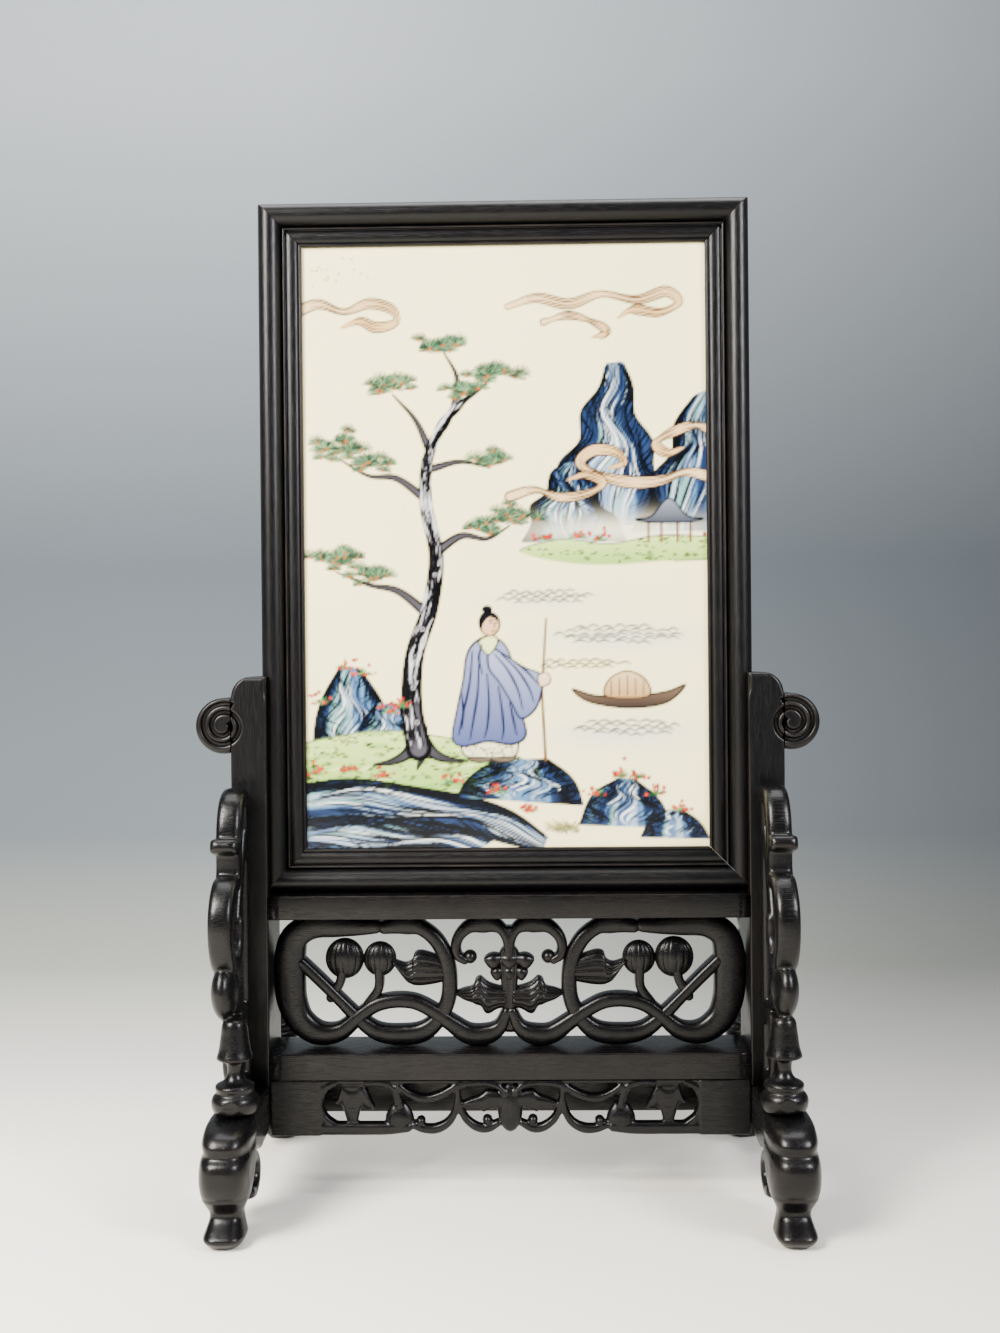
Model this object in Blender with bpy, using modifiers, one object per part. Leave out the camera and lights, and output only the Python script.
# Table screen: a porcelain plaque in a moulded frame on a carved stand.
# Metres, +Z up, +X to the viewer's right, the front faces -Y, the floor is Z = 0.
import math

import bmesh
import bpy
import numpy as np
from mathutils import Matrix

# Frame and plaque
FRAME_WIDTH = 0.304
FRAME_HEIGHT = 0.428
MEMBER_WIDTH = 0.0270
MEMBER_DEPTH = 0.030
FRAME_CORNER_RADIUS = 0.0025
PLAQUE_LAP = 0.0046
PLAQUE_THICKNESS = 0.006
PLAQUE_SET_BACK = 0.0095
BACK_BOARD_THICKNESS = 0.005

# Posts and their ears
POST_WIDTH = 0.0218
POST_DEPTH = 0.042
FRAME_IN_GROOVE = 0.0045
POST_RISE_BESIDE_FRAME = 0.1348
POST_EDGE_ROUND = 0.0030
SHOULDER_RADIUS = 0.0125
EAR_RADIUS = 0.0172
EAR_OUTSIDE_POST = 0.0049
EAR_BELOW_POST_TOP = 0.0303
EAR_EDGE_ROUND = 0.0036
SPIRAL_TURNS = 2.25
SPIRAL_CUT_WIDTH = 0.0017
SPIRAL_CUT_DEPTH = 0.0013

# Rails and openwork boards
RAIL_DEPTH = 0.042
RAIL_ABOVE_FOOT = 0.0038
LOWER_RAIL_HEIGHT = 0.0162
UPPER_RAIL_HEIGHT = 0.0147
RAIL_POINT_LENGTH = 0.0055
PANEL_HEIGHT = 0.0819
PANEL_THICKNESS = 0.014
APRON_HEIGHT = 0.034
APRON_THICKNESS = 0.009
APRON_SET_BACK = 0.0005
BACK_APRON_HEIGHT = 0.0290

# Feet
FOOT_HEIGHT = 0.0665
FOOT_REACH = 0.1085
FOOT_BEAM_WIDTH = 0.0222
KNEE_WIDTH = 0.0295
FOOT_ARCH_HEIGHT = 0.0395
LEG_OUTWARD = 0.0015

# Standing spandrels
SPANDREL_HEIGHT = 0.1865
SPANDREL_SHARE_OF_FOOT = 0.6971
SPANDREL_WIDTH = 0.0150
RIGHT_SPANDREL_OUTWARD = 0.0015
LEFT_SPANDREL_OUTWARD = 0.0060
DRUM_RADIUS = 0.0138

# Clearances
GAP = 0.0003
GROOVE_CLEARANCE = 0.0005
HALF_TRIM = 0.0004
SLIVER = 0.00002

# Derived positions
OPENING = FRAME_WIDTH / 2 - FRAME_IN_GROOVE
POST_OUTER = OPENING + POST_WIDTH
POST_CENTRE = OPENING + POST_WIDTH / 2
POST_FRONT = -POST_DEPTH / 2
LOWER_RAIL_Z = FOOT_HEIGHT + RAIL_ABOVE_FOOT
PANEL_Z = LOWER_RAIL_Z + LOWER_RAIL_HEIGHT + GAP
UPPER_RAIL_Z = PANEL_Z + PANEL_HEIGHT + GAP
FRAME_Z = UPPER_RAIL_Z + UPPER_RAIL_HEIGHT + GAP
FRAME_TOP = FRAME_Z + FRAME_HEIGHT
FRAME_MIDDLE = FRAME_Z + FRAME_HEIGHT / 2
POST_TOP = FRAME_Z + POST_RISE_BESIDE_FRAME
EAR_X = POST_OUTER + EAR_OUTSIDE_POST
EAR_Z = POST_TOP - EAR_BELOW_POST_TOP
APRON_Z = LOWER_RAIL_Z - GAP - APRON_HEIGHT
PLAQUE_Y = -MEMBER_DEPTH / 2 + PLAQUE_SET_BACK
BOARD_HALF = OPENING - GAP
BEYOND = FRAME_TOP + FRAME_WIDTH
LEG_X = POST_CENTRE + LEG_OUTWARD
SPANDREL_REACH = (FOOT_REACH - POST_DEPTH / 2) * SPANDREL_SHARE_OF_FOOT
PANEL_MEASURE = math.sqrt(BOARD_HALF * PANEL_HEIGHT)
APRON_MEASURE = math.sqrt(BOARD_HALF * APRON_HEIGHT)
SPANDREL_MEASURE = math.sqrt(SPANDREL_REACH * SPANDREL_HEIGHT)

# Carving on the openwork panel, left half: share of the half width from the middle,
# share of the height from the bottom, and half the strand's width as a share of the
# board's own measure, which is the root of its half width times its height
BAND = (
    (0.556, 0.878, 0.016), (0.628, 0.893, 0.036), (0.733, 0.914, 0.063), (0.839, 0.908, 0.071),
    (0.912, 0.828, 0.082), (0.934, 0.665, 0.091), (0.934, 0.476, 0.091), (0.922, 0.324, 0.078),
    (0.880, 0.180, 0.062), (0.805, 0.078, 0.060), (0.712, 0.120, 0.048), (0.641, 0.226, 0.044),
    (0.569, 0.313, 0.044), (0.489, 0.347, 0.044), (0.404, 0.336, 0.044), (0.328, 0.271, 0.044),
    (0.253, 0.180, 0.048), (0.177, 0.090, 0.058), (0.101, 0.080, 0.061), (0.042, 0.142, 0.043),
    (0.010, 0.262, 0.031),
)
RING = (
    (0.518, 0.889, 0.034), (0.480, 0.918, 0.049), (0.430, 0.925, 0.057), (0.371, 0.897, 0.046),
    (0.307, 0.802, 0.046), (0.265, 0.650, 0.046), (0.253, 0.476, 0.046), (0.265, 0.324, 0.046),
    (0.307, 0.195, 0.048), (0.375, 0.100, 0.058), (0.476, 0.078, 0.061), (0.565, 0.112, 0.051),
    (0.641, 0.211, 0.043), (0.721, 0.355, 0.036), (0.805, 0.506, 0.036), (0.885, 0.643, 0.036),
)
VOLUTE = (
    (0.000, 0.665, 0.031), (0.005, 0.794, 0.031), (0.029, 0.881, 0.034), (0.065, 0.923, 0.046),
    (0.109, 0.930, 0.056), (0.166, 0.908, 0.041), (0.208, 0.843, 0.034), (0.225, 0.764, 0.031),
    (0.217, 0.688, 0.028), (0.189, 0.652, 0.026),
)
OUTER_STEM = (
    (0.708, 0.590, 0.029), (0.721, 0.483, 0.029), (0.759, 0.370, 0.029),
)
INNER_STEM = (
    (0.553, 0.590, 0.029), (0.556, 0.438, 0.029), (0.603, 0.309, 0.029),
)
TRUNK = (
    (0.000, 0.900, 0.031), (0.000, 0.770, 0.031), (0.000, 0.696, 0.062), (0.000, 0.552, 0.054),
    (0.000, 0.438, 0.046), (0.000, 0.302, 0.036), (0.000, 0.120, 0.034),
)
OUTER_BUD = (0.700, 0.666, 0.113, 0.117)
INNER_BUD = (0.550, 0.661, 0.095, 0.100)
CURL_BALL = (0.166, 0.673, 0.040)
RING_LEAF = (
    (0.485, 0.662), (0.442, 0.627), (0.409, 0.646), (0.404, 0.699), (0.375, 0.718),
    (0.333, 0.699), (0.286, 0.665), (0.265, 0.574), (0.278, 0.491), (0.333, 0.468),
    (0.383, 0.461), (0.434, 0.483), (0.472, 0.552), (0.493, 0.612),
)
TRUNK_LEAF = (
    (0.229, 0.400), (0.194, 0.430), (0.156, 0.446), (0.139, 0.510), (0.122, 0.521),
    (0.084, 0.468), (0.050, 0.449), (0.012, 0.438), (0.012, 0.310), (0.071, 0.245),
    (0.105, 0.252), (0.126, 0.302), (0.172, 0.332), (0.206, 0.362),
)
FLOWER_CAP = (
    (-0.004, 0.715), (0.050, 0.712), (0.088, 0.699), (0.107, 0.658), (0.105, 0.616),
    (0.080, 0.586), (0.080, 0.537), (0.063, 0.510), (-0.004, 0.518),
)
PANEL_VEINS = (
    ((0.484, 0.606), (0.300, 0.580)), ((0.400, 0.600), (0.372, 0.690)),
    ((0.215, 0.392), (0.040, 0.372)), ((0.150, 0.392), (0.128, 0.492)),
    ((0.135, 0.382), (0.098, 0.278)),
)

# Carving on the front apron, left half, in the same shares
FOOT_BAND = (
    (0.871, 0.124, 0.059), (0.663, 0.116, 0.054), (0.518, 0.116, 0.054), (0.430, 0.140, 0.045),
)
HOLE_END = (
    (0.730, 0.940, 0.025), (0.775, 0.850, 0.034), (0.798, 0.616, 0.038), (0.780, 0.329, 0.038),
    (0.730, 0.160, 0.034),
)
ARCH = (
    (0.572, 0.950, 0.020), (0.518, 0.920, 0.025), (0.485, 0.813, 0.028), (0.466, 0.600, 0.028),
)
WAVE = (
    (0.464, 0.885, 0.028), (0.414, 0.732, 0.033), (0.352, 0.659, 0.033), (0.286, 0.732, 0.033),
    (0.221, 0.885, 0.031), (0.166, 0.935, 0.028), (0.103, 0.936, 0.025), (0.052, 0.890, 0.028),
    (0.022, 0.770, 0.025),
)
OUTER_ARC = (
    (0.398, 0.167, 0.034), (0.356, 0.108, 0.038), (0.307, 0.110, 0.041), (0.261, 0.212, 0.037),
    (0.232, 0.400, 0.031), (0.219, 0.652, 0.028), (0.219, 0.831, 0.024),
)
INNER_ARC = (
    (0.219, 0.741, 0.024), (0.207, 0.490, 0.030), (0.182, 0.275, 0.034), (0.136, 0.131, 0.038),
    (0.091, 0.117, 0.037), (0.050, 0.210, 0.031),
)
HANGING_LEAF = (
    (0.701, 0.970), (0.692, 0.813), (0.728, 0.607), (0.697, 0.526), (0.686, 0.382),
    (0.680, 0.170), (0.638, 0.170), (0.630, 0.346), (0.626, 0.526), (0.597, 0.445),
    (0.564, 0.463), (0.572, 0.598), (0.597, 0.777), (0.609, 0.970),
)
SIDE_LEAF = (
    (0.212, 0.544), (0.166, 0.652), (0.124, 0.706), (0.095, 0.804), (0.058, 0.786),
    (0.012, 0.706), (0.012, 0.562), (0.058, 0.490), (0.087, 0.454), (0.112, 0.382),
    (0.132, 0.490), (0.174, 0.490),
)
APRON_BUD = (0.462, 0.364, 0.139, 0.113)
APRON_DROP = (0.000, 0.480, 0.112, 0.212)
OUTER_BALL = (0.373, 0.248, 0.042)
INNER_BALL = (0.095, 0.266, 0.044)
APRON_END = 0.790
APRON_TOP_STRIP = 0.065

# Foot: share of the height, front and back as shares of the reach, half width as a share
# of half the knee width
LEG = (
    (0.000, 0.925, 0.750, 0.52), (0.030, 0.950, 0.735, 0.66), (0.090, 0.982, 0.715, 0.80),
    (0.150, 0.950, 0.705, 0.74), (0.225, 0.900, 0.705, 0.64), (0.280, 0.892, 0.705, 0.66),
    (0.345, 0.920, 0.690, 0.80), (0.415, 0.955, 0.665, 0.91), (0.425, 0.945, 0.668, 0.885),
    (0.440, 0.963, 0.660, 0.93), (0.540, 0.992, 0.610, 0.98), (0.640, 1.000, 0.560, 1.00),
    (0.720, 0.985, 0.520, 0.96), (0.780, 0.955, 0.500, 0.89), (0.860, 0.957, 0.490, 0.94),
    (0.930, 0.922, 0.480, 0.90), (0.975, 0.865, 0.475, 0.84), (1.000, 0.800, 0.472, 0.74),
)
HEEL_SCROLL = (
    (0.680, 0.330, 0.063), (0.600, 0.300, 0.066), (0.525, 0.370, 0.066), (0.515, 0.500, 0.066),
    (0.570, 0.590, 0.069), (0.650, 0.620, 0.072),
)

# Spandrel: share of the reach forward of the post, share of the height, and half the
# strand's width as a share of the root of reach times height
STEM = (
    (0.060, 0.000, 0.037), (0.060, 0.300, 0.037), (0.060, 0.600, 0.037), (0.060, 0.955, 0.037),
)
UPPER_SCROLL = (
    (0.060, 0.945, 0.043), (0.200, 0.962, 0.053), (0.370, 0.935, 0.060), (0.470, 0.870, 0.060),
    (0.490, 0.790, 0.055), (0.510, 0.725, 0.047), (0.600, 0.690, 0.038),
)
MIDDLE_SCROLL = (
    (0.560, 0.706, 0.038), (0.740, 0.690, 0.051), (0.890, 0.620, 0.058), (0.890, 0.530, 0.058),
    (0.770, 0.460, 0.051), (0.580, 0.452, 0.043), (0.440, 0.500, 0.040), (0.420, 0.570, 0.036),
)
CROSS_LINK = (
    (0.740, 0.370, 0.047), (0.500, 0.330, 0.040), (0.280, 0.290, 0.036), (0.070, 0.260, 0.032),
)
INNER_SCROLL = (
    (0.070, 0.220, 0.034), (0.250, 0.250, 0.038), (0.400, 0.200, 0.040), (0.420, 0.110, 0.040),
    (0.290, 0.050, 0.040), (0.070, 0.040, 0.036),
)
UPPER_LINK = (
    (0.420, 0.570, 0.038), (0.300, 0.660, 0.041), (0.190, 0.760, 0.038), (0.070, 0.850, 0.032),
)
COLLAR = (
    (0.420, 0.806, 0.040), (0.520, 0.812, 0.044), (0.600, 0.818, 0.044),
)
BUD_CENTRE = (0.730, 0.372, 0.141, 0.155)
# turned foot of the spandrel: share of the drum radius, share of the spandrel height
TURNING = (
    (0.00, 0.298), (0.46, 0.286), (0.58, 0.240), (0.74, 0.174), (0.36, 0.160), (0.32, 0.128),
    (0.80, 0.090), (0.80, 0.074), (0.64, 0.066), (0.96, 0.052), (0.98, 0.020), (0.74, 0.000),
    (0.00, 0.000),
)
TURNING_FORWARD = 0.800

# Frame moulding: distance in from the outer edge, height above the back
MOULDING = (
    (0.0000, 0.0000), (0.0000, 0.0215), (0.0010, 0.0254), (0.0032, 0.0284),
    (0.0070, 0.0300), (0.0108, 0.0288), (0.0132, 0.0260), (0.0140, 0.0236),
    (0.0147, 0.0250), (0.0156, 0.0250), (0.0162, 0.0232), (0.0190, 0.0246),
    (0.0216, 0.0236), (0.0230, 0.0216), (0.0236, 0.0230), (0.0248, 0.0230),
    (0.0255, 0.0214), (0.0255, 0.0206),
)


for old in list(bpy.data.objects):
    bpy.data.objects.remove(old, do_unlink=True)
screen = bpy.data.collections.new("PorcelainTableScreen")
cutters = bpy.data.collections.new("Cutters")
bpy.context.scene.collection.children.link(screen)
bpy.context.scene.collection.children.link(cutters)
cutters.hide_render = True


def material(name, colour, roughness):
    made = bpy.data.materials.new(name)
    made.use_nodes = True
    shader = made.node_tree.nodes["Principled BSDF"]
    shader.inputs["Base Color"].default_value = (*colour, 1.0)
    shader.inputs["Roughness"].default_value = roughness
    return made


def to_object(name, mesh_data):
    made = bpy.data.objects.new(name, bpy.data.meshes.new(name))
    bmesh.ops.recalc_face_normals(mesh_data, faces=mesh_data.faces)
    mesh_data.to_mesh(made.data)
    mesh_data.free()
    cutters.objects.link(made)
    made.display_type = "WIRE"
    return made


def block(name, low, high):
    """Box between two opposite corners."""
    data = bmesh.new()
    bmesh.ops.create_cube(data, size=1.0)
    size = [high[i] - low[i] for i in range(3)]
    middle = [(high[i] + low[i]) / 2 for i in range(3)]
    bmesh.ops.scale(data, vec=size, verts=data.verts)
    bmesh.ops.translate(data, vec=middle, verts=data.verts)
    return to_object(name, data)


def prism(name, outline, y_front, y_back):
    """Outline in X and Z pushed straight back from y_front to y_back."""
    data = bmesh.new()
    face = data.faces.new([data.verts.new((x, y_front, z)) for x, z in outline])
    made = bmesh.ops.extrude_face_region(data, geom=[face])
    moved = [part for part in made["geom"] if isinstance(part, bmesh.types.BMVert)]
    bmesh.ops.translate(data, vec=(0.0, y_back - y_front, 0.0), verts=moved)
    return to_object(name, data)


def smooth_path(points, per_span):
    """Curve through all points; each span is a cubic that leaves along its neighbours."""
    control = np.array(points, dtype=float)
    before = np.vstack([2 * control[0] - control[1], control[:-1]])
    after = np.vstack([control[1:], 2 * control[-1] - control[-2]])
    slope = (after - before) / 2
    share = np.arange(per_span) / per_span
    rows = []
    for i in range(len(control) - 1):
        for t in share:
            a = 2 * t ** 3 - 3 * t ** 2 + 1
            b = t ** 3 - 2 * t ** 2 + t
            c = -2 * t ** 3 + 3 * t ** 2
            d = t ** 3 - t ** 2
            rows.append(a * control[i] + b * slope[i] + c * control[i + 1] + d * slope[i + 1])
    rows.append(control[-1])
    return np.array(rows)


SECTION = ((1.0, 0.10), (0.58, 1.0), (-0.58, 1.0), (-1.0, 0.10), (-0.62, -1.0), (0.62, -1.0))


def strand(name, points, half_depth, place, per_span=2, section=SECTION):
    """Carved strand: its width follows the points while its depth stays that of the board."""
    path = smooth_path(points, per_span)
    tangent = np.gradient(path[:, :2], axis=0)
    tangent /= np.linalg.norm(tangent, axis=1)[:, None]
    normal = np.stack([-tangent[:, 1], tangent[:, 0]], axis=1)
    start = path[0].copy()
    start[:2] -= tangent[0] * start[2] * 0.55
    start[2] *= 0.5
    end = path[-1].copy()
    end[:2] += tangent[-1] * end[2] * 0.55
    end[2] *= 0.5
    path = np.vstack([start, path, end])
    normal = np.vstack([normal[0], normal, normal[-1]])
    depth_share = np.ones(len(path))
    depth_share[0] = depth_share[-1] = 0.7
    data = bmesh.new()
    rings = []
    for row, across, share in zip(path, normal, depth_share):
        ring = []
        for wide, deep in section:
            a, b = row[:2] + across * row[2] * wide
            ring.append(data.verts.new(place(a, b, deep * half_depth * share)))
        rings.append(ring)
    count = len(section)
    for first, second in zip(rings[:-1], rings[1:]):
        for i in range(count):
            j = (i + 1) % count
            data.faces.new((first[i], first[j], second[j], second[i]))
    data.faces.new(rings[0])
    data.faces.new(rings[-1])
    return to_object(name, data)


def bud(name, centre, half_size, segments=12, rings=7, flute=0.90):
    """Egg standing on end, every second meridian drawn in to make flutes."""
    data = bmesh.new()
    bmesh.ops.create_uvsphere(data, u_segments=segments, v_segments=rings, radius=1.0)
    for vert in data.verts:
        angle = math.atan2(vert.co.y, vert.co.x)
        step = round(angle / (2 * math.pi / segments))
        if step % 2 and abs(vert.co.z) < 0.99:
            vert.co.x *= flute
            vert.co.y *= flute
    bmesh.ops.scale(data, vec=half_size, verts=data.verts)
    bmesh.ops.translate(data, vec=centre, verts=data.verts)
    return to_object(name, data)


def cylinder(name, centre, radius, depth, segments):
    """Round bar lying along Y."""
    data = bmesh.new()
    bmesh.ops.create_cone(data, cap_ends=True, segments=segments, radius1=radius,
                          radius2=radius, depth=depth)
    bmesh.ops.rotate(data, matrix=Matrix.Rotation(math.pi / 2, 3, "X"), verts=data.verts)
    bmesh.ops.translate(data, vec=centre, verts=data.verts)
    return to_object(name, data)


def finish_modifiers(target):
    graph = bpy.context.evaluated_depsgraph_get()
    made = bpy.data.meshes.new_from_object(target.evaluated_get(graph))
    target.modifiers.clear()
    target.data = made
    return target


def combine(target, tool, operation):
    step = target.modifiers.new("carve", "BOOLEAN")
    step.operation = operation
    step.solver = "EXACT"
    step.object = tool
    finish_modifiers(target)
    return target


def fuse(parts):
    target = parts[0]
    for part in parts[1:]:
        combine(target, part, "UNION")
    return target


def bevel(target, width, segments, angle=30.0):
    step = target.modifiers.new("soft edges", "BEVEL")
    step.width = width
    step.segments = segments
    step.limit_method = "ANGLE"
    step.angle_limit = math.radians(angle)
    return finish_modifiers(target)


def copy_of(source, name):
    made = source.copy()
    made.data = source.data.copy()
    made.name = name
    cutters.objects.link(made)
    return made


def mirrored(source, name, axis):
    made = copy_of(source, name)
    data = bmesh.new()
    data.from_mesh(made.data)
    flip = [1.0, 1.0, 1.0]
    flip[axis] = -1.0
    bmesh.ops.scale(data, vec=flip, verts=data.verts)
    bmesh.ops.reverse_faces(data, faces=data.faces)
    data.to_mesh(made.data)
    data.free()
    return made


def weld(data):
    """Close up the hair-thin slivers that a join can leave."""
    bmesh.ops.remove_doubles(data, verts=data.verts, dist=SLIVER)
    bmesh.ops.dissolve_degenerate(data, edges=data.edges, dist=SLIVER)


def tidy(target):
    """Weld the joins and drop the edges that lie within a flat face."""
    data = bmesh.new()
    data.from_mesh(target.data)
    weld(data)
    bmesh.ops.dissolve_limit(data, angle_limit=math.radians(2.0), verts=data.verts,
                             edges=data.edges)
    data.to_mesh(target.data)
    data.free()
    return target


def thin_out(target, keep):
    """Weld the joined shells, then leave only this share of the carving's facets."""
    data = bmesh.new()
    data.from_mesh(target.data)
    weld(data)
    bmesh.ops.triangulate(data, faces=data.faces)
    weld(data)
    data.to_mesh(target.data)
    data.free()
    step = target.modifiers.new("thin out", "DECIMATE")
    step.ratio = keep
    return finish_modifiers(target)


def piece(source, name, finish, smooth_below=None, flips=(1.0, 1.0, 1.0)):
    """Copy of a finished shape in the object's collection, mirrored if asked."""
    data = bmesh.new()
    data.from_mesh(source.data)
    bmesh.ops.triangulate(data, faces=data.faces)
    bmesh.ops.scale(data, vec=flips, verts=data.verts)
    if flips[0] * flips[1] * flips[2] < 0.0:
        bmesh.ops.reverse_faces(data, faces=data.faces)
    mesh = bpy.data.meshes.new(name)
    data.to_mesh(mesh)
    data.free()
    made = bpy.data.objects.new(name, mesh)
    screen.objects.link(made)
    made.data.materials.clear()
    made.data.materials.append(finish)
    if smooth_below:
        made.data.set_sharp_from_angle(angle=math.radians(smooth_below))
    return made


blackwood = (0.014, 0.012, 0.012)

# Plaque and back board
half_sight = FRAME_WIDTH / 2 - MEMBER_WIDTH
plaque_half = half_sight + PLAQUE_LAP
plaque_half_height = FRAME_HEIGHT / 2 - MEMBER_WIDTH + PLAQUE_LAP
plaque = block(
    "plaque", (-plaque_half, PLAQUE_Y, FRAME_MIDDLE - plaque_half_height),
    (plaque_half, PLAQUE_Y + PLAQUE_THICKNESS, FRAME_MIDDLE + plaque_half_height))
piece(plaque, "porcelain_plaque", material("porcelain glaze", (0.86, 0.84, 0.76), 0.12))
board_y = PLAQUE_Y + PLAQUE_THICKNESS + GAP
board = block(
    "board", (-plaque_half, board_y, FRAME_MIDDLE - plaque_half_height),
    (plaque_half, board_y + BACK_BOARD_THICKNESS, FRAME_MIDDLE + plaque_half_height))
piece(board, "back_board", material("back board wood", blackwood, 0.6))


# Frame: one mitred member turned to its four sides, then trimmed to the rounded corners
def mitred_member(name, length, turn):
    """Moulding along X whose ends are cut back by its own distance from the outer edge."""
    profile = [(s, h * MEMBER_DEPTH / 0.030) for s, h in MOULDING]
    profile = [(s * MEMBER_WIDTH / 0.0255, h) for s, h in profile]
    rebate = MEMBER_WIDTH - PLAQUE_LAP - GAP
    lip_back = MEMBER_DEPTH - PLAQUE_SET_BACK + GAP
    profile[-1] = (MEMBER_WIDTH, lip_back)
    profile += [(rebate, lip_back), (rebate, 0.0)]
    data = bmesh.new()
    ends = []
    for side in (-1.0, 1.0):
        ring = []
        for inward, height in profile:
            reach = length / 2 - inward - GAP / 2 * math.sqrt(2.0)
            ring.append(data.verts.new((side * reach, MEMBER_DEPTH / 2 - height, inward)))
        ends.append(ring)
    count = len(profile)
    for i in range(count):
        j = (i + 1) % count
        data.faces.new((ends[0][i], ends[0][j], ends[1][j], ends[1][i]))
    data.faces.new(ends[0])
    data.faces.new(ends[1])
    offset = FRAME_HEIGHT / 2 if abs(math.sin(turn)) < 0.5 else FRAME_WIDTH / 2
    bmesh.ops.translate(data, vec=(0.0, 0.0, -offset), verts=data.verts)
    bmesh.ops.rotate(data, matrix=Matrix.Rotation(turn, 3, "Y"), verts=data.verts)
    bmesh.ops.translate(data, vec=(0.0, 0.0, FRAME_MIDDLE), verts=data.verts)
    return to_object(name, data)


def round_corner_outline(half_x, half_z, radius, steps=4):
    outline = []
    for corner in range(4):
        sign_x = 1 if corner in (0, 3) else -1
        sign_z = 1 if corner in (0, 1) else -1
        for k in range(steps + 1):
            angle = (corner + k / steps) * math.pi / 2
            outline.append((sign_x * (half_x - radius) + radius * math.cos(angle),
                            FRAME_MIDDLE + sign_z * (half_z - radius)
                            + radius * math.sin(angle)))
    return outline


trim = prism("frame trim", round_corner_outline(FRAME_WIDTH / 2, FRAME_HEIGHT / 2,
                                                FRAME_CORNER_RADIUS), -BEYOND, BEYOND)
for name, length, turn in (
    ("frame_bottom_rail", FRAME_WIDTH, 0.0), ("frame_left_stile", FRAME_HEIGHT, math.pi / 2),
    ("frame_top_rail", FRAME_WIDTH, math.pi), ("frame_right_stile", FRAME_HEIGHT, -math.pi / 2),
):
    member = combine(mitred_member(name + " blank", length, turn), trim, "INTERSECT")
    finish = material(name.replace("_", " ") + " blackwood", blackwood, 0.32)
    piece(tidy(member), name, finish, 35.0)


# Posts with the shoulder, the frame groove, the rail's pointed notch and half the spiral
def spiral(name, side):
    """Groove winding in from the rim, the same step in each turn."""
    turns = np.linspace(0.0, SPIRAL_TURNS, 30)
    angle = math.pi + 0.35 * math.pi - turns * 2 * math.pi
    rim = EAR_RADIUS * 0.86
    core = EAR_RADIUS * 0.22
    radius = rim + (core - rim) * turns / SPIRAL_TURNS
    points = [(side * (EAR_X - radius[i] * math.cos(angle[i]) * -1.0),
               EAR_Z + radius[i] * math.sin(angle[i]), SPIRAL_CUT_WIDTH / 2)
              for i in range(len(turns))]
    wedge = ((1.0, -1.0), (-1.0, -1.0), (-0.45, 1.0), (0.45, 1.0))
    return strand(name, points, SPIRAL_CUT_DEPTH,
                  lambda a, b, d: (a, POST_FRONT + d, b), per_span=1, section=wedge)


def shoulder_outline(inset):
    """Post from the front. The shoulder and the top are drawn in, the sides are not."""
    outline = [(OPENING, FOOT_HEIGHT + GAP), (POST_OUTER, FOOT_HEIGHT + GAP)]
    for k in range(9):
        angle = k / 8 * math.pi / 2
        radius = SHOULDER_RADIUS - inset * min(1.0, k / 3)
        outline.append((POST_OUTER - SHOULDER_RADIUS + radius * math.cos(angle),
                        POST_TOP - SHOULDER_RADIUS + radius * math.sin(angle)))
    outline.append((OPENING, POST_TOP - inset))
    return outline


def post_solid(name):
    """The outline at five depths, drawn in on a quarter circle towards both faces."""
    data = bmesh.new()
    rings = []
    for side in (1.0, -1.0):
        for turn in (0.0, 1.0, 2.0) if side > 0 else (2.0, 1.0, 0.0):
            turn *= math.pi / 4
            inset = POST_EDGE_ROUND * (1.0 - math.sin(turn))
            y = side * (POST_FRONT + POST_EDGE_ROUND * (1.0 - math.cos(turn)))
            rings.append([data.verts.new((x, y, z)) for x, z in shoulder_outline(inset)])
    count = len(rings[0])
    for first, second in zip(rings[:-1], rings[1:]):
        for i in range(count):
            j = (i + 1) % count
            data.faces.new((first[i], first[j], second[j], second[i]))
    data.faces.new(rings[0])
    data.faces.new(rings[-1])
    return to_object(name, data)


post = post_solid("post")
groove_floor = FRAME_WIDTH / 2 + GROOVE_CLEARANCE
groove_half = MEMBER_DEPTH / 2 + GAP
combine(post, block("groove", (0.0, -groove_half, FRAME_Z - GAP),
                    (groove_floor, groove_half, BEYOND)), "DIFFERENCE")


def pointed_rail_outline(z_low, height, grow):
    half = OPENING - GAP + grow
    tip = OPENING + RAIL_POINT_LENGTH - GAP + grow
    low = z_low - grow
    high = z_low + height + grow
    middle = (low + high) / 2
    return [(-half, low), (half, low), (tip, middle), (half, high), (-half, high),
            (-tip, middle)]


combine(post, prism("notch", pointed_rail_outline(UPPER_RAIL_Z, UPPER_RAIL_HEIGHT, GAP),
                    -BEYOND, BEYOND), "DIFFERENCE")
spiral_cut = spiral("spiral groove", 1.0)
combine(post, spiral_cut, "DIFFERENCE")

ear = bevel(cylinder("ear", (EAR_X, 0.0, EAR_Z), EAR_RADIUS, POST_DEPTH, 26),
            EAR_EDGE_ROUND, 2, 60.0)
combine(ear, block("ear seam", (0.0, -BEYOND, 0.0), (POST_OUTER + GAP, BEYOND, BEYOND)),
        "DIFFERENCE")
combine(ear, spiral_cut, "DIFFERENCE")
for source, name in ((tidy(post), "post"), (tidy(ear), "ear_scroll")):
    for side, flip_x in (("right", 1.0), ("left", -1.0)):
        finish = material(side + " " + name + " blackwood", blackwood, 0.35)
        piece(source, side + "_" + name, finish, 35.0, (flip_x, 1.0, 1.0))

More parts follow.
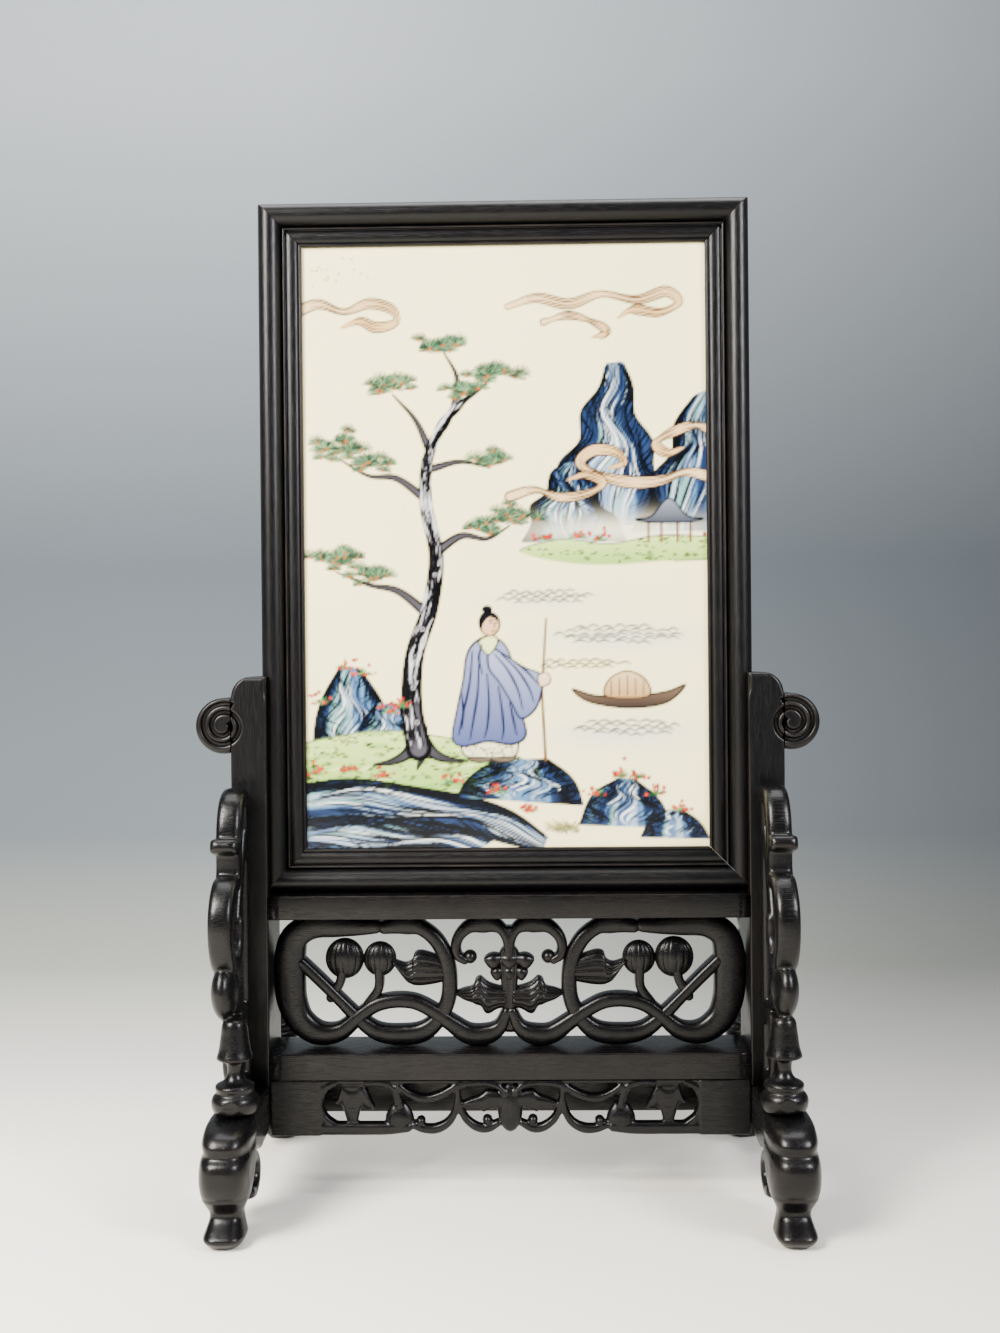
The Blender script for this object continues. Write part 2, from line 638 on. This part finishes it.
# Rails
upper = prism("upper", pointed_rail_outline(UPPER_RAIL_Z, UPPER_RAIL_HEIGHT, 0.0),
              -RAIL_DEPTH / 2, RAIL_DEPTH / 2)
piece(upper, "upper_rail", material("upper rail blackwood", blackwood, 0.35))
lower = bevel(block("lower", (-BOARD_HALF, -RAIL_DEPTH / 2, LOWER_RAIL_Z),
                    (BOARD_HALF, RAIL_DEPTH / 2, LOWER_RAIL_Z + LOWER_RAIL_HEIGHT)), 0.0006, 1)
piece(lower, "lower_rail", material("lower rail blackwood", blackwood, 0.35))


# Openwork panel
def on_panel(points, side=-1.0):
    return [(side * p[0] * BOARD_HALF, PANEL_Z + p[1] * PANEL_HEIGHT,
             *(width * PANEL_MEASURE for width in p[2:])) for p in points]


def in_board(y_middle):
    return lambda a, b, d: (a, y_middle + d, b)


panel_half = PANEL_THICKNESS / 2
half_parts = [
    strand("band", on_panel(BAND), panel_half, in_board(0.0), 1),
    strand("ring", on_panel(RING), panel_half * 0.94, in_board(0.0)),
    strand("volute", on_panel(VOLUTE), panel_half * 0.88, in_board(0.0)),
    strand("outer stem", on_panel(OUTER_STEM), panel_half * 0.70, in_board(0.0), 1),
    strand("inner stem", on_panel(INNER_STEM), panel_half * 0.74, in_board(0.0), 1),
    prism("ring leaf", on_panel(RING_LEAF), -panel_half * 0.62, panel_half * 0.60),
    prism("trunk leaf", on_panel(TRUNK_LEAF), -panel_half * 0.66, panel_half * 0.64),
    prism("cap", on_panel(FLOWER_CAP), -panel_half * 0.98, panel_half * 0.92),
]
for label, spot, depth in (("outer bud", OUTER_BUD, 0.96), ("inner bud", INNER_BUD, 0.90)):
    x, z, wide, tall = on_panel([spot])[0]
    half_parts.append(bud(label, (x, 0.0, z), (wide, panel_half * depth, tall)))
x, z, wide = on_panel([CURL_BALL])[0]
half_parts.append(bud("curl ball", (x, 0.0, z), (wide, panel_half * 0.8, wide), 8, 6, 1.0))
half = fuse(half_parts)
for start, end in PANEL_VEINS:
    line = [p + (PANEL_MEASURE * 0.0064,) for p in on_panel([start, end])]
    combine(half, strand("vein", line, panel_half * 0.23, in_board(-panel_half * 0.62), 1,
                         ((1.0, -1.0), (-1.0, -1.0), (0.0, 0.6))), "DIFFERENCE")
combine(half, block("panel half limits", (-BEYOND, -BEYOND, 0.0), (-HALF_TRIM, BEYOND, BEYOND)),
        "INTERSECT")
other = mirrored(half, "panel other half", 0)
trunk = strand("trunk", on_panel(TRUNK), panel_half * 0.80, in_board(0.0), 1)
panel = fuse([half, trunk, other])
limits = block("panel limits", (-BOARD_HALF, -panel_half, PANEL_Z),
               (BOARD_HALF, panel_half, PANEL_Z + PANEL_HEIGHT))
combine(panel, limits, "INTERSECT")
piece(thin_out(panel, 0.62), "openwork_panel",
      material("openwork blackwood", blackwood, 0.34), 40.0)

# Aprons
apron_front = -RAIL_DEPTH / 2 + APRON_SET_BACK
apron_back = apron_front + APRON_THICKNESS
apron_middle = (apron_front + apron_back) / 2
apron_half = APRON_THICKNESS / 2


def on_apron(points):
    return [(-p[0] * BOARD_HALF, APRON_Z + p[1] * APRON_HEIGHT,
             *(width * APRON_MEASURE for width in p[2:])) for p in points]


here = in_board(apron_middle)
half_parts = [
    block("apron end", (-BOARD_HALF, apron_front, APRON_Z),
          (-BOARD_HALF * APRON_END, apron_back, APRON_Z + APRON_HEIGHT)),
    strand("foot band", on_apron(FOOT_BAND), apron_half * 0.96, here, 1),
    strand("hole end", on_apron(HOLE_END), apron_half * 0.90, here, 1),
    strand("arch", on_apron(ARCH), apron_half * 0.84, here, 1),
    strand("wave", on_apron(WAVE), apron_half * 0.93, here, 1),
    strand("outer arc", on_apron(OUTER_ARC), apron_half * 0.87, here, 1),
    strand("inner arc", on_apron(INNER_ARC), apron_half * 0.81, here, 1),
    prism("hanging leaf", on_apron(HANGING_LEAF), apron_middle - apron_half * 0.73,
          apron_middle + apron_half * 0.69),
    prism("side leaf", on_apron(SIDE_LEAF), apron_middle - apron_half * 0.67,
          apron_middle + apron_half * 0.62),
]
x, z, wide, tall = on_apron([APRON_BUD])[0]
half_parts.append(bud("apron bud", (x, apron_middle, z), (wide, apron_half * 0.99, tall)))
for label, spot in (("outer ball", OUTER_BALL), ("inner ball", INNER_BALL)):
    x, z, wide = on_apron([spot])[0]
    half_parts.append(bud(label, (x, apron_middle, z), (wide, apron_half * 0.8, wide), 8, 6, 1.0))
half = fuse(half_parts)
combine(half, block("apron half limits", (-BEYOND, -BEYOND, 0.0), (-HALF_TRIM, BEYOND, BEYOND)),
        "INTERSECT")
other = mirrored(half, "apron other half", 0)
x, z, wide, tall = on_apron([APRON_DROP])[0]
drop = bud("apron drop", (x, apron_middle, z), (wide, apron_half * 0.99, tall))
strip = block("apron strip", (-BOARD_HALF * 0.9, apron_middle - apron_half * 0.78,
                              APRON_Z + APRON_HEIGHT * (1.0 - APRON_TOP_STRIP)),
              (BOARD_HALF * 0.9, apron_middle + apron_half * 0.78,
               APRON_Z + APRON_HEIGHT * 0.9994))
apron = fuse([half, strip, drop, other])
limits = block("apron limits", (-BOARD_HALF, apron_front, APRON_Z),
               (BOARD_HALF, apron_back, APRON_Z + APRON_HEIGHT))
combine(apron, limits, "INTERSECT")
piece(thin_out(apron, 0.62), "front_apron",
      material("front apron blackwood", blackwood, 0.36), 40.0)
back_apron_z = APRON_Z + APRON_HEIGHT - BACK_APRON_HEIGHT
plain = block("plain apron", (-BOARD_HALF, -apron_back, back_apron_z),
              (BOARD_HALF, -apron_front, APRON_Z + APRON_HEIGHT))
piece(bevel(plain, 0.0006, 1), "back_apron", material("back apron blackwood", blackwood, 0.5))


# Feet: a beam under the post with a leg at each end
def superellipse(count, power):
    """Rounded square: cosine and sine, each raised to the same small power."""
    made = []
    for k in range(count):
        angle = (k + 0.5) / count * 2 * math.pi
        c, s = math.cos(angle), math.sin(angle)
        made.append((math.copysign(abs(c) ** power, c), math.copysign(abs(s) ** power, s)))
    return made


def leg_solid(name):
    data = bmesh.new()
    rings = []
    for height, front, back, half in LEG:
        middle = -FOOT_REACH * (front + back) / 2
        half_deep = FOOT_REACH * (front - back) / 2
        half_wide = KNEE_WIDTH / 2 * half
        rings.append([data.verts.new((LEG_X + x * half_wide, middle + y * half_deep,
                                      height * FOOT_HEIGHT))
                      for x, y in superellipse(10, 0.62)])
    for first, second in zip(rings[:-1], rings[1:]):
        for i in range(10):
            j = (i + 1) % 10
            data.faces.new((first[i], first[j], second[j], second[i]))
    data.faces.new(rings[0])
    data.faces.new(rings[-1])
    return to_object(name, data)


def beam_solid(name):
    """Beam along Y with a shallow arch beneath, its long edges softened."""
    data = bmesh.new()
    rings = []
    half = FOOT_BEAM_WIDTH / 2
    soft = FOOT_BEAM_WIDTH * 0.081
    for share in (-0.70, -0.55, -0.40, -0.20, 0.0, 0.20, 0.40, 0.55, 0.70):
        low = FOOT_ARCH_HEIGHT * (1.0 - 0.35 * share * share)
        low += FOOT_HEIGHT * 0.10 * (abs(share) > 0.5)
        y = share * FOOT_REACH
        corners = ((-half + soft, low), (half - soft, low), (half, low + soft),
                   (half, FOOT_HEIGHT - soft / 3), (half - soft / 3, FOOT_HEIGHT),
                   (-half + soft / 3, FOOT_HEIGHT), (-half, FOOT_HEIGHT - soft / 3),
                   (-half, low + soft))
        rings.append([data.verts.new((POST_CENTRE + x, y, z)) for x, z in corners])
    for first, second in zip(rings[:-1], rings[1:]):
        for i in range(8):
            j = (i + 1) % 8
            data.faces.new((first[i], first[j], second[j], second[i]))
    data.faces.new(rings[0])
    data.faces.new(rings[-1])
    return to_object(name, data)


def in_side(x_middle, base, front=-1.0):
    return lambda a, b, d: (x_middle + d, front * a, base + b)


front_leg = leg_solid("front leg")
heel = strand("heel scroll", [(a * FOOT_REACH, b * FOOT_HEIGHT, w * FOOT_HEIGHT)
                               for a, b, w in HEEL_SCROLL],
              KNEE_WIDTH / 2 * 0.90, in_side(LEG_X, 0.0), 1)
fuse([front_leg, heel])
foot = fuse([beam_solid("beam"), front_leg, mirrored(front_leg, "back leg", 1)])
thin_out(foot, 0.8)
for name, flip_x in (("right_foot", 1.0), ("left_foot", -1.0)):
    piece(foot, name, material(name.replace("_", " ") + " blackwood", blackwood, 0.36), 45.0,
          (flip_x, 1.0, 1.0))


# Spandrels
def on_spandrel(points):
    front = POST_DEPTH / 2 + GAP
    return [(front + a * (SPANDREL_REACH - GAP), b * SPANDREL_HEIGHT,
             *(width * SPANDREL_MEASURE for width in rest)) for a, b, *rest in points]


base = FOOT_HEIGHT + GAP
half_wide = SPANDREL_WIDTH / 2


def turning_solid(name):
    """Turned outline swept once round an upright axis."""
    data = bmesh.new()
    line = [data.verts.new((r * DRUM_RADIUS, 0.0, h * SPANDREL_HEIGHT)) for r, h in TURNING]
    for first, second in zip(line[:-1], line[1:]):
        data.edges.new((first, second))
    made = bpy.data.objects.new(name, bpy.data.meshes.new(name))
    data.to_mesh(made.data)
    data.free()
    cutters.objects.link(made)
    turn = made.modifiers.new("turn", "SCREW")
    turn.steps = 10
    turn.render_steps = 10
    turn.use_merge_vertices = True
    turn.merge_threshold = 0.00005
    turn.use_normal_calculate = True
    finish_modifiers(made)
    shift = on_spandrel([(TURNING_FORWARD, 0.0)])[0]
    data = bmesh.new()
    data.from_mesh(made.data)
    bmesh.ops.recalc_face_normals(data, faces=data.faces)
    bmesh.ops.translate(data, vec=(POST_CENTRE, -shift[0], base), verts=data.verts)
    data.to_mesh(made.data)
    data.free()
    return made


def spandrel_solid(name, outward):
    """Scrolls, collar, bud and turned foot in one; the scrolls stand outward of the post."""
    strand_x = POST_CENTRE + outward
    side = in_side(strand_x, base)
    a, b, bud_deep, bud_tall = on_spandrel([BUD_CENTRE])[0]
    made = fuse([
        strand(name, on_spandrel(STEM), half_wide * 0.84, side, 1),
        strand("upper scroll", on_spandrel(UPPER_SCROLL), half_wide, side),
        strand("middle scroll", on_spandrel(MIDDLE_SCROLL), half_wide * 0.97, side),
        strand("cross link", on_spandrel(CROSS_LINK), half_wide * 0.78, side, 1),
        strand("inner scroll", on_spandrel(INNER_SCROLL), half_wide * 0.81, side, 1),
        strand("upper link", on_spandrel(UPPER_LINK), half_wide * 0.75, side, 1),
        bud("spandrel bud", (strand_x, -a, base + b), (half_wide * 1.05, bud_deep, bud_tall),
            10, 7, 0.95),
        turning_solid("turning"),
        strand("collar", on_spandrel(COLLAR), half_wide * 1.12,
               in_side(strand_x + half_wide * 0.2, base), 1),
    ])
    floor_trim = block("floor trim", (0.0, -BEYOND, base),
                       (BEYOND, -POST_DEPTH / 2 - GAP, BEYOND))
    return thin_out(combine(made, floor_trim, "INTERSECT"), 0.65)


for side_name, outward, flip_x in (("right", RIGHT_SPANDREL_OUTWARD, 1.0),
                                   ("left", LEFT_SPANDREL_OUTWARD, -1.0)):
    blank = spandrel_solid(side_name + " spandrel", outward)
    for depth_name, flip_y in (("front", 1.0), ("back", -1.0)):
        name = f"{side_name}_{depth_name}_spandrel"
        piece(blank, name, material(name.replace("_", " ") + " blackwood", blackwood, 0.34),
              40.0, (flip_x, flip_y, 1.0))

for made in screen.objects:
    print(made.name, len(made.data.polygons))
print("triangles in all", sum(len(o.data.polygons) for o in screen.objects))
